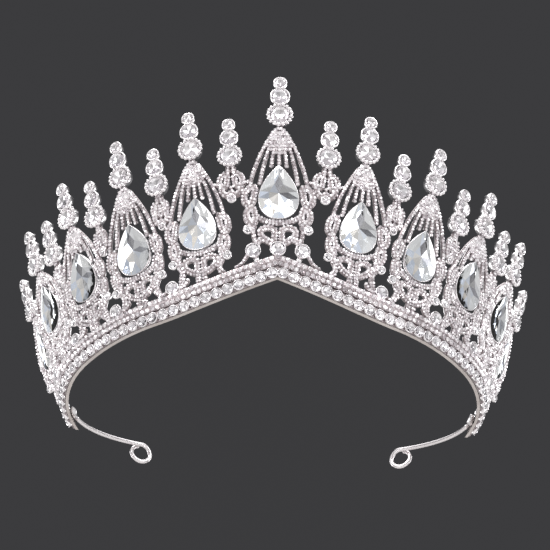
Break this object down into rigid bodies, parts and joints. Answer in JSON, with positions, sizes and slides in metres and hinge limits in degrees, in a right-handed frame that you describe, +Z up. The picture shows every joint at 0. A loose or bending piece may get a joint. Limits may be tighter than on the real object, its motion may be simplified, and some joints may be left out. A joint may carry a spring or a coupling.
{
  "type": "bridal tiara",
  "caption": "Silver bridal tiara with a peaked band, flared openwork spires, pear-cut crystals, small stone finials and wire tails with hair-pin loops.",
  "frame": {"origin": "bottom centre of the whole part, on the table under the head opening", "axes": "+X across the tiara to the right-hand end (right in the picture), +Z up out of the band's plane, -Y the peaked front"},
  "size_m": [0.15, 0.0942, 0.0617],
  "materials": {
    "silver_plate": "bright plated casting",
    "band_strip": "plain polished strip",
    "clear_crystal": "faceted, foil-backed",
    "pave_row": "rows of small set stones",
    "steel_wire": "drawn wire, plated"
  },
  "bodies": {
    "crown": {"base_band": "band_strip", "bead_rail": "pave_row", "cup_chain": "pave_row", "spire_center": "silver_plate", "spire_left_1": "silver_plate", "spire_left_2": "silver_plate", "spire_left_3": "silver_plate", "spire_left_4": "silver_plate", "spire_left_5": "silver_plate", "spire_right_1": "silver_plate", "spire_right_2": "silver_plate", "spire_right_3": "silver_plate", "spire_right_4": "silver_plate", "spire_right_5": "silver_plate", "pear_stone_center": "clear_crystal", "pear_stone_left_1": "clear_crystal", "pear_stone_left_2": "clear_crystal", "pear_stone_left_3": "clear_crystal", "pear_stone_left_4": "clear_crystal", "pear_stone_left_5": "clear_crystal", "pear_stone_right_1": "clear_crystal", "pear_stone_right_2": "clear_crystal", "pear_stone_right_3": "clear_crystal", "pear_stone_right_4": "clear_crystal", "pear_stone_right_5": "clear_crystal", "spire_stones_center": "clear_crystal", "spire_stones_left_1": "clear_crystal", "spire_stones_left_2": "clear_crystal", "spire_stones_left_3": "clear_crystal", "spire_stones_left_4": "clear_crystal", "spire_stones_left_5": "clear_crystal", "spire_stones_right_1": "clear_crystal", "spire_stones_right_2": "clear_crystal", "spire_stones_right_3": "clear_crystal", "spire_stones_right_4": "clear_crystal", "spire_stones_right_5": "clear_crystal", "finial_left_1": "silver_plate", "finial_left_2": "silver_plate", "finial_left_3": "silver_plate", "finial_left_4": "silver_plate", "finial_right_1": "silver_plate", "finial_right_2": "silver_plate", "finial_right_3": "silver_plate", "finial_right_4": "silver_plate", "finial_stones_left_1": "clear_crystal", "finial_stones_left_2": "clear_crystal", "finial_stones_left_3": "clear_crystal", "finial_stones_left_4": "clear_crystal", "finial_stones_right_1": "clear_crystal", "finial_stones_right_2": "clear_crystal", "finial_stones_right_3": "clear_crystal", "finial_stones_right_4": "clear_crystal", "end_stone_left": "clear_crystal", "end_stone_right": "clear_crystal", "solder_bead_left": "silver_plate", "solder_bead_right": "silver_plate"},
    "left_tail": {"tail_wire_left": "steel_wire"},
    "right_tail": {"tail_wire_right": "steel_wire"}
  },
  "joints": [
    {"name": "left_tail_flex", "type": "hinge", "parent": "crown", "child": "left_tail", "pos_m": [-0.05423, 0.02945, 0.0029], "axis": [0, 0, -1], "range_deg": [-6, 12], "stiffness_Nm_per_rad": 0.05},
    {"name": "right_tail_flex", "type": "hinge", "parent": "crown", "child": "right_tail", "pos_m": [0.05423, 0.02945, 0.0029], "axis": [0, 0, 1], "range_deg": [-6, 12], "stiffness_Nm_per_rad": 0.05}
  ]
}
